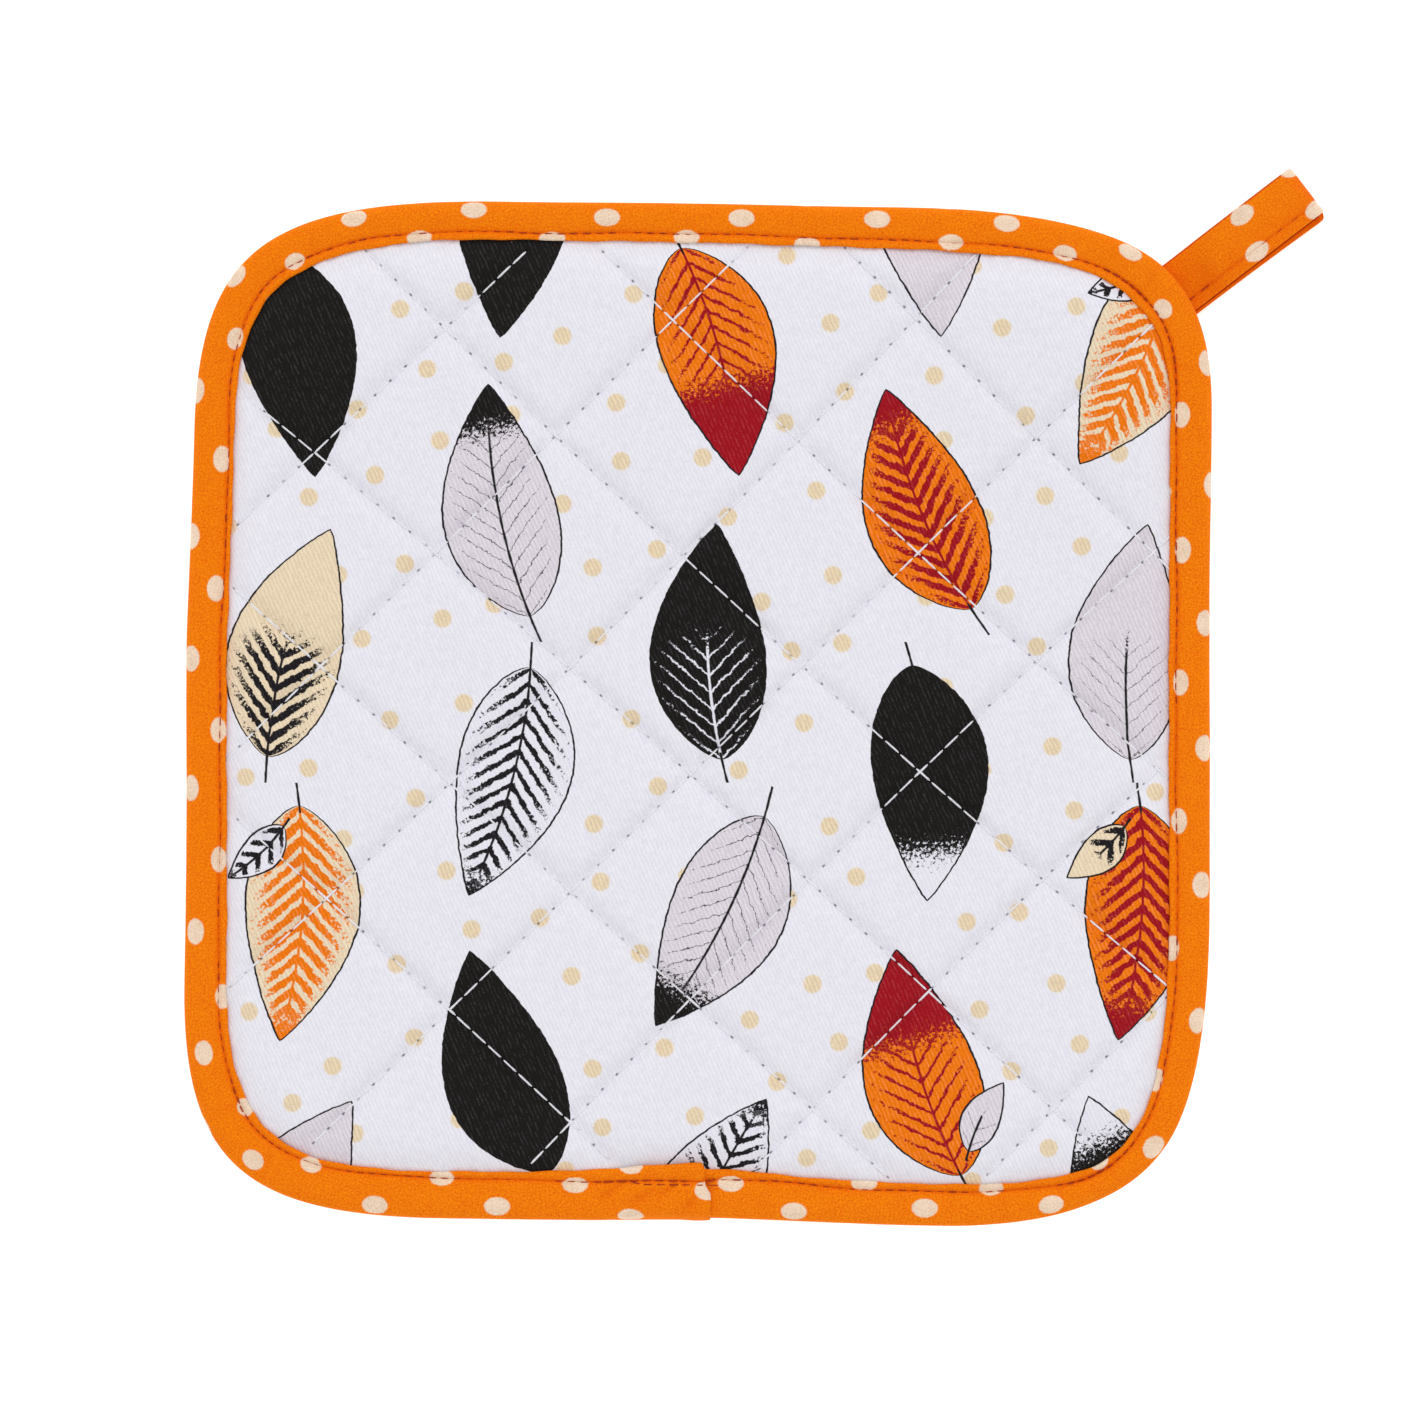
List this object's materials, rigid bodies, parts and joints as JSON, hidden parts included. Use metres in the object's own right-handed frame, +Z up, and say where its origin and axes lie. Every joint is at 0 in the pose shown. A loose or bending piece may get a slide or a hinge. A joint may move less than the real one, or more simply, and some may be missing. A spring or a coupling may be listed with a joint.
{
  "type": "quilted pot mat",
  "caption": "Square quilted pot mat with rounded corners, a turned tape binding round its edge and a folded hanging loop at one corner, lying flat.",
  "frame": {"origin": "under the middle of the mat, on the surface that it lies on", "axes": "+Z up out of the printed face; +Y to the back edge, +X to the right, so the hanging loop is at the back right corner"},
  "size_m": [0.2233, 0.2065, 0.0094],
  "materials": {
    "printed_cotton": "printed white cotton twill, matt",
    "binding_cotton": "orange cotton tape with cream dots, matt",
    "loop_cotton": "orange cotton tape with cream dots, matt",
    "quilting_thread": "white sewing thread",
    "edge_thread": "rust sewing thread"
  },
  "bodies": {
    "root": {"quilt": "printed_cotton", "binding": "binding_cotton", "hanging_loop": "loop_cotton"}
  },
  "joints": []
}
